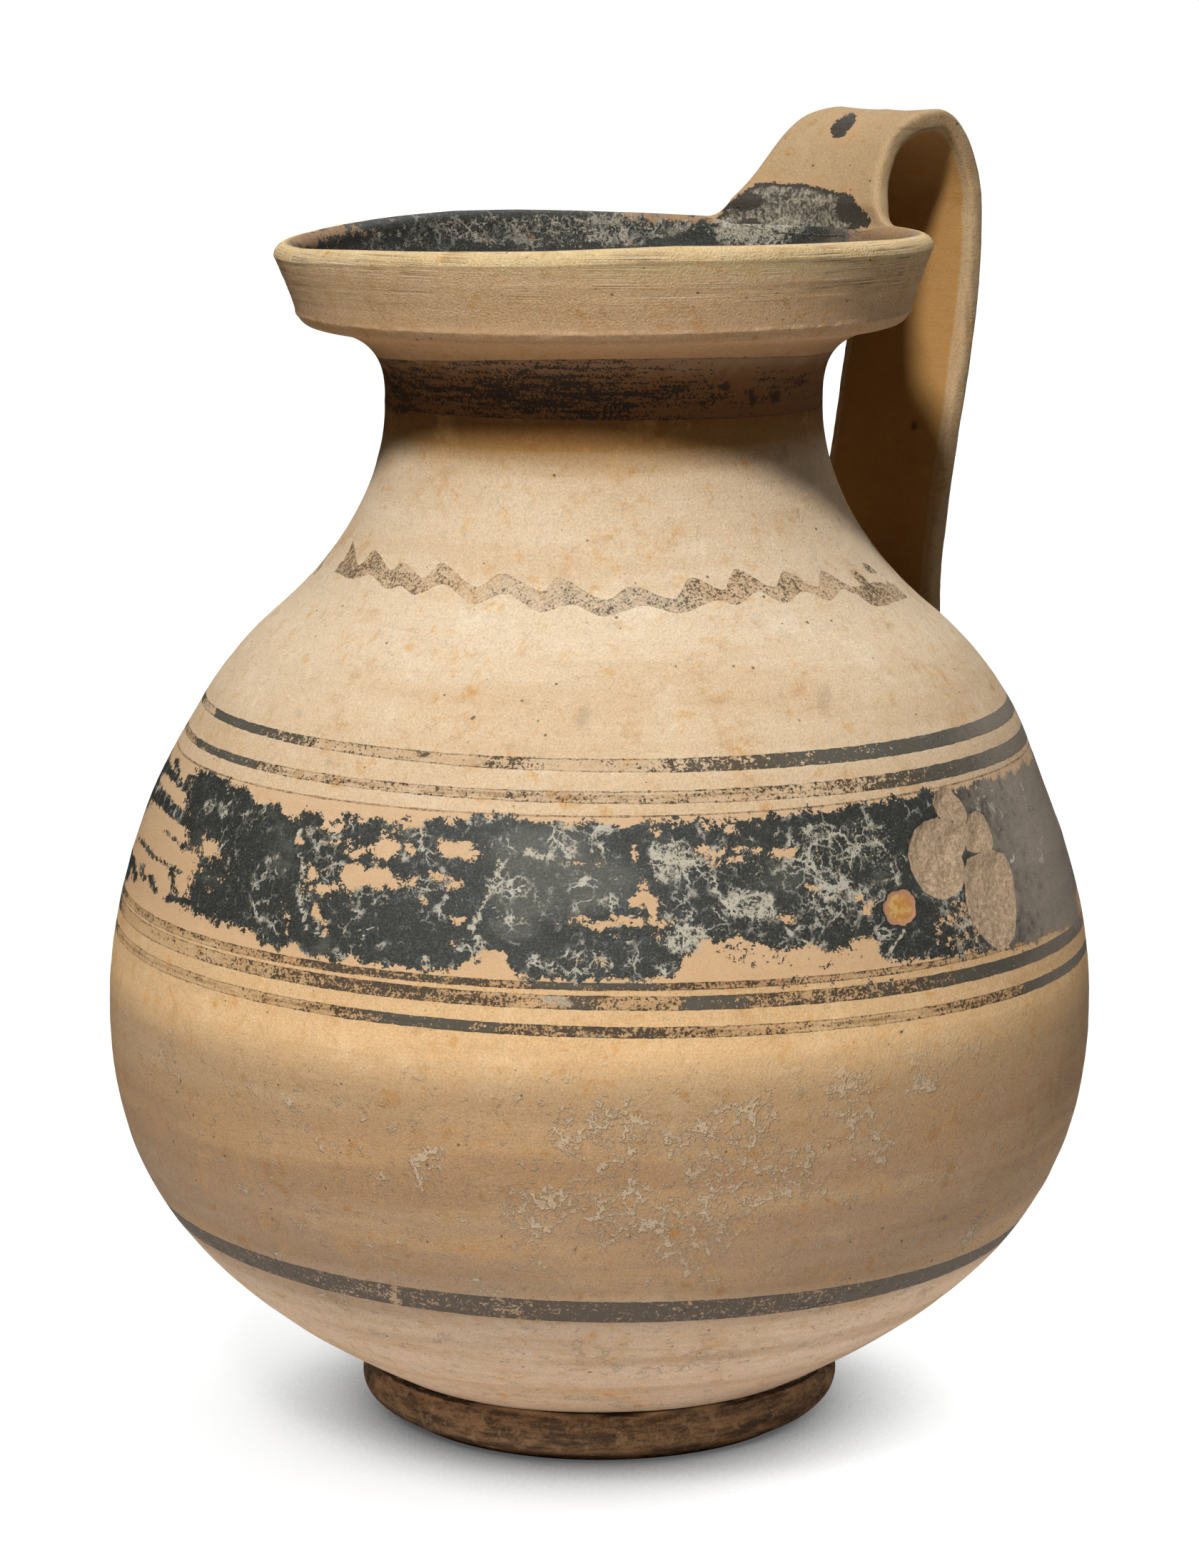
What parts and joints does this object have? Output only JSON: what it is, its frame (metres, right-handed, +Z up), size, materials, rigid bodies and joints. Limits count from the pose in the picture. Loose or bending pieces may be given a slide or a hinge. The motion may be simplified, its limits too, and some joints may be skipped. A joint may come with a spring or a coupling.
{
  "type": "bichrome jug",
  "caption": "Wheel-thrown clay jug with a round belly, ring foot, flaring neck, upright collar mouth and a high strap handle, painted with dark bands.",
  "frame": {"origin": "centre of the foot ring's resting circle, on the surface that the jug stands on", "axes": "+Z up along the pot's axis, +X towards the handle"},
  "size_m": [0.2, 0.2, 0.2635],
  "materials": {
    "foot_clay": "matte fired clay, brown and smudged",
    "bowl_clay": "matte fired clay, buff with black and brown painted bands",
    "shoulder_clay": "matte fired clay, cream buff with painted lines",
    "neck_clay": "matte fired clay, buff with a worn dark band and wavy line",
    "collar_clay": "matte fired clay, finely wheel-marked, black inside",
    "handle_clay": "matte fired clay, smoothed by hand"
  },
  "bodies": {
    "root": {"foot_ring": "foot_clay", "body_bowl": "bowl_clay", "shoulder": "shoulder_clay", "neck": "neck_clay", "mouth_collar": "collar_clay", "strap_handle": "handle_clay"}
  },
  "joints": []
}
